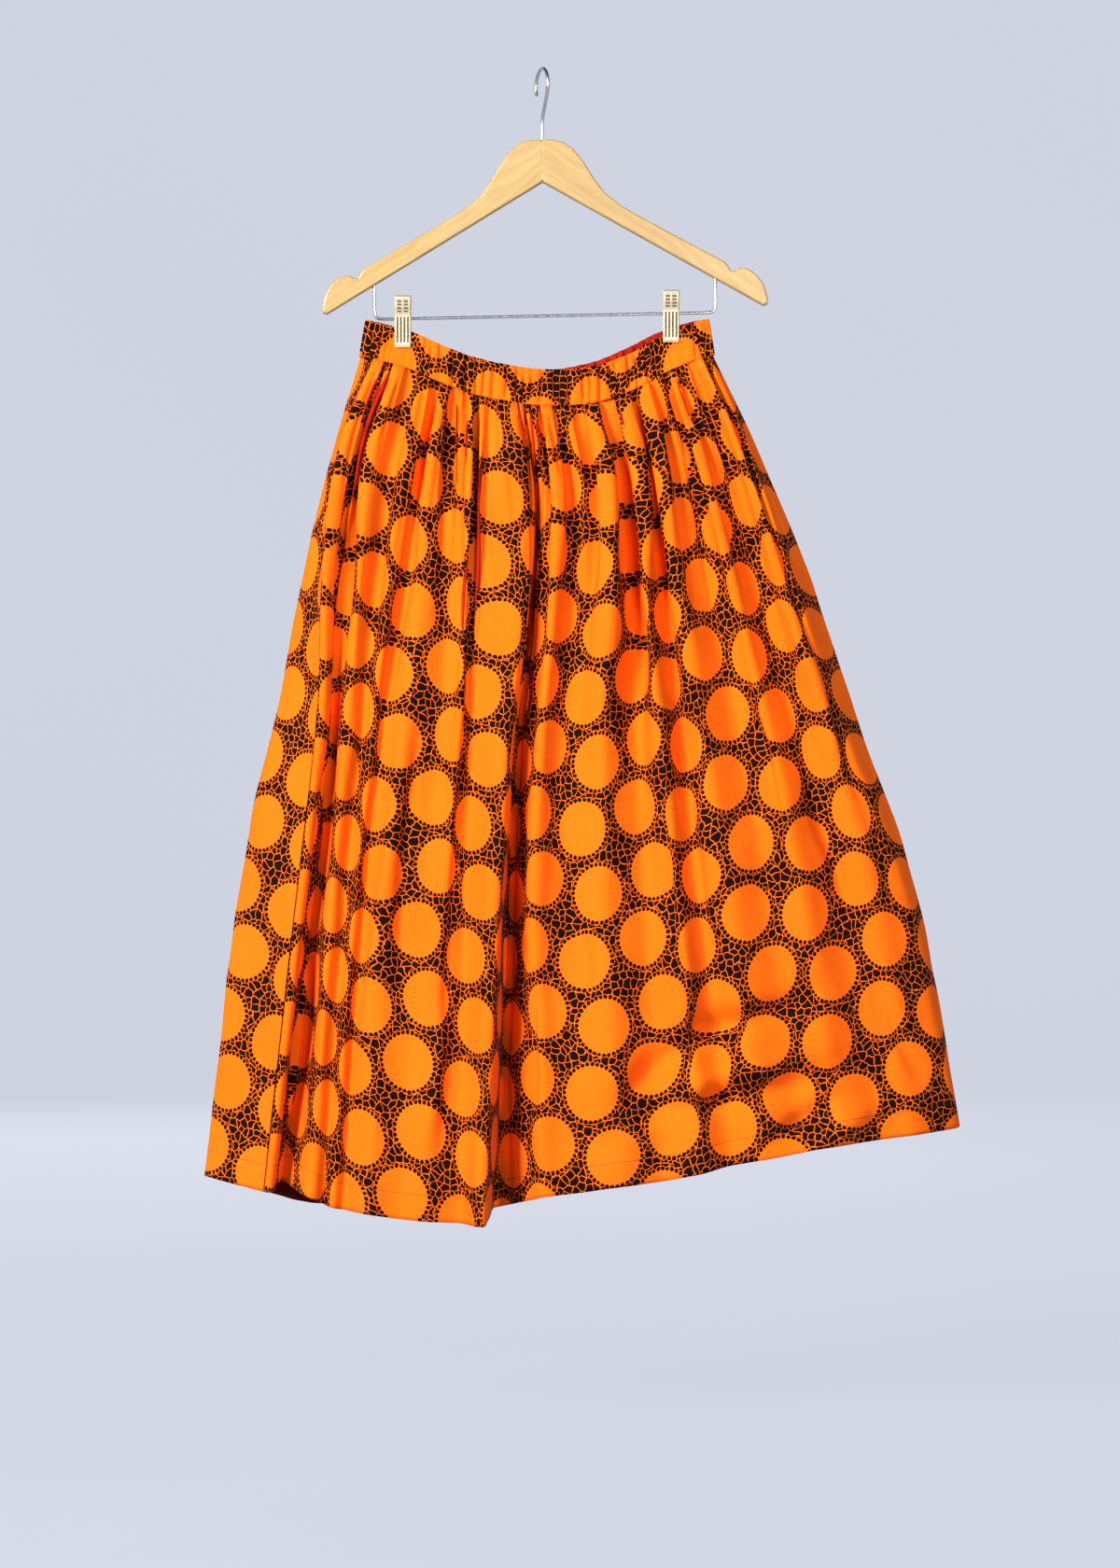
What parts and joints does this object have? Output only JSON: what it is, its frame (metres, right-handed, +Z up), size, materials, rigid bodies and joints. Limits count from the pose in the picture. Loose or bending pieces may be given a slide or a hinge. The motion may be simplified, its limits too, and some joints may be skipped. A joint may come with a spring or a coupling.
{
  "type": "gathered full skirt on a wooden clip hanger",
  "caption": "Long full skirt gathered into an elastic waistband, in a dot and pebble printed cotton, hung by two clips from a wooden hanger with a wire hook.",
  "frame": {"origin": "inside of the crown of the hanger's hook, where it rests on the top of a rail", "axes": "+Z up, +X to the right as seen from the front, -Y towards the viewer, so the skirt's front faces -Y"},
  "size_m": [0.7541, 0.185, 1.1501],
  "materials": {
    "printed_cotton": "plain-weave cotton with a soft sheen",
    "lacquered_wood": "satin clear lacquer",
    "chrome_wire": "bright plated",
    "nickel_clip": "satin plated"
  },
  "bodies": {
    "root": {"skirt_front": "printed_cotton", "skirt_back": "printed_cotton", "hem_front": "printed_cotton", "hem_back": "printed_cotton", "waistband_front": "printed_cotton", "waistband_back": "printed_cotton", "hanger_left": "lacquered_wood", "hanger_right": "lacquered_wood", "hook": "chrome_wire", "clip_bar": "chrome_wire", "clip_left_jaw_front": "nickel_clip", "clip_left_jaw_back": "nickel_clip", "clip_left_spring": "nickel_clip", "clip_right_jaw_front": "nickel_clip", "clip_right_jaw_back": "nickel_clip", "clip_right_spring": "nickel_clip"}
  },
  "joints": []
}
